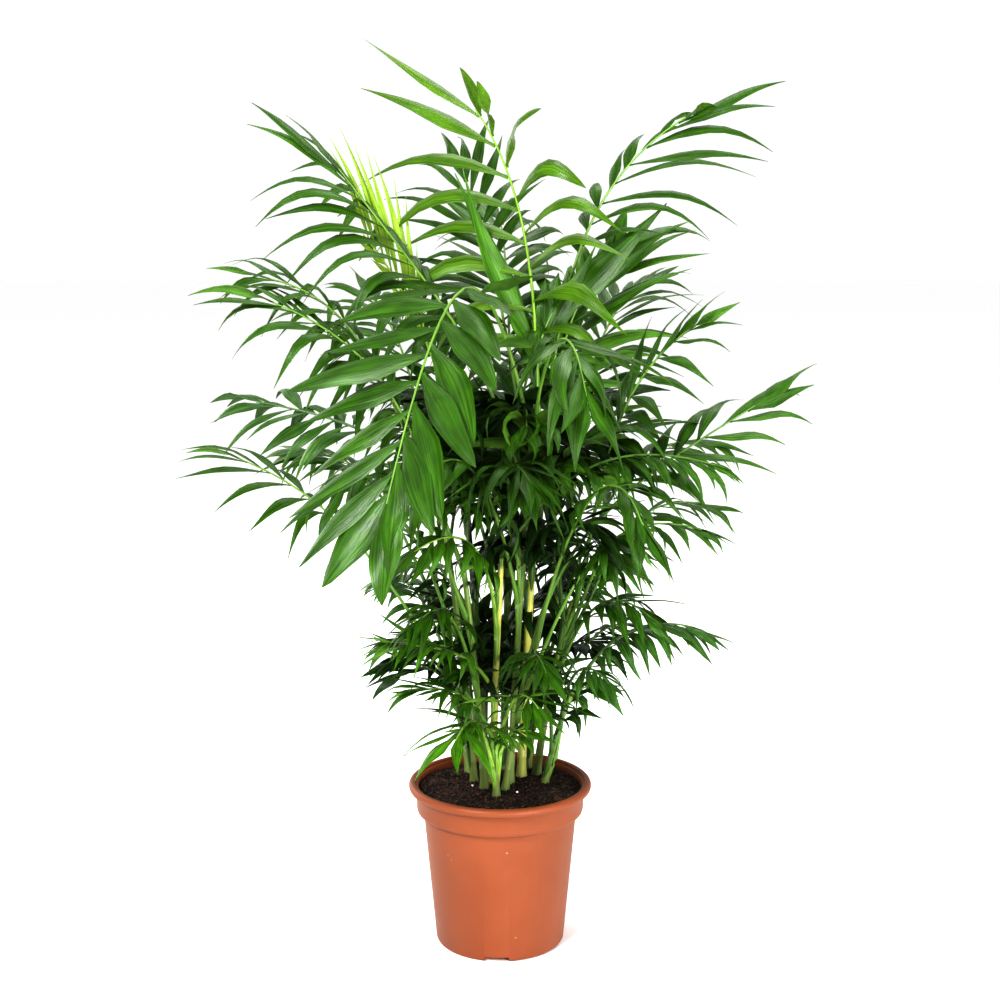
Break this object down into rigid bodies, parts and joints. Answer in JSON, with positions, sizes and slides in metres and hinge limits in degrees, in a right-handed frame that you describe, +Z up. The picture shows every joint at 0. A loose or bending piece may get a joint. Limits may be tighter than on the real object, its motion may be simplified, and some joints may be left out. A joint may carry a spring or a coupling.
{
  "type": "parlour palm in a nursery pot",
  "caption": "Clump of slim palm stems with arching feather fronds, standing in soil in a round tapered plastic nursery pot.",
  "frame": {"origin": "centre of the pot's flat underside, on the surface it stands on", "axes": "+Z up along the plant, -Y towards the front, +X to the right seen from the front"},
  "size_m": [0.6856, 0.7021, 1.0227],
  "materials": {
    "pot_plastic": "satin terracotta-coloured moulded plastic",
    "potting_soil": "rough moist fibrous potting soil",
    "green_cane": "smooth olive green stem with ringed sheaths",
    "pale_cane": "smooth pale yellow-green stem",
    "leaf": "satin mid to dark green leaflets with fine lengthwise veins",
    "young_leaf": "pale lime green leaflets of a frond that is still folded"
  },
  "bodies": {
    "root": {"pot": "pot_plastic", "soil": "potting_soil", "cane_tall": "pale_cane", "cane_olive": "green_cane", "cane_pale": "pale_cane", "cane_left": "green_cane", "cane_left_out": "green_cane", "cane_left_back": "green_cane", "cane_right": "green_cane", "cane_right_out": "green_cane", "cane_right_low": "green_cane", "cane_back": "green_cane", "cane_back_left": "green_cane", "cane_back_right": "green_cane", "cane_shoot": "green_cane", "frond_crest": "leaf", "frond_upper_right": "leaf", "frond_front_sweep": "leaf", "frond_back_upper": "leaf", "frond_centre_high": "leaf", "frond_upper_left": "leaf", "frond_right_back": "leaf", "frond_spear": "young_leaf", "frond_left_upper": "leaf", "frond_left_lower": "leaf", "frond_left_dark": "leaf", "frond_far_left": "leaf", "frond_left_mid": "leaf", "frond_mid_left": "leaf", "frond_left_small": "leaf", "frond_right_up": "leaf", "frond_far_right": "leaf", "frond_right_comb": "leaf", "frond_right_low": "leaf", "frond_centre_low": "leaf", "frond_lower_right": "leaf", "frond_lower_right_small": "leaf", "frond_lower_left": "leaf", "frond_lower_left_small": "leaf", "frond_low_front": "leaf", "frond_low_front_right": "leaf", "frond_right_mid": "leaf", "frond_right_small": "leaf", "frond_front_mid": "leaf", "frond_front_left_mid": "leaf", "frond_inner_back": "leaf", "frond_inner_left": "leaf", "frond_inner_front": "leaf", "frond_inner_low": "leaf", "frond_inner_low_left": "leaf", "frond_back_high": "leaf", "frond_back_sweep": "leaf", "frond_back_out": "leaf", "frond_back_left_high": "leaf", "frond_back_left_wide": "leaf", "frond_back_left_low": "leaf", "frond_back_right_high": "leaf", "frond_back_right_wide": "leaf", "frond_back_right_low": "leaf", "frond_back_low": "leaf"}
  },
  "joints": []
}
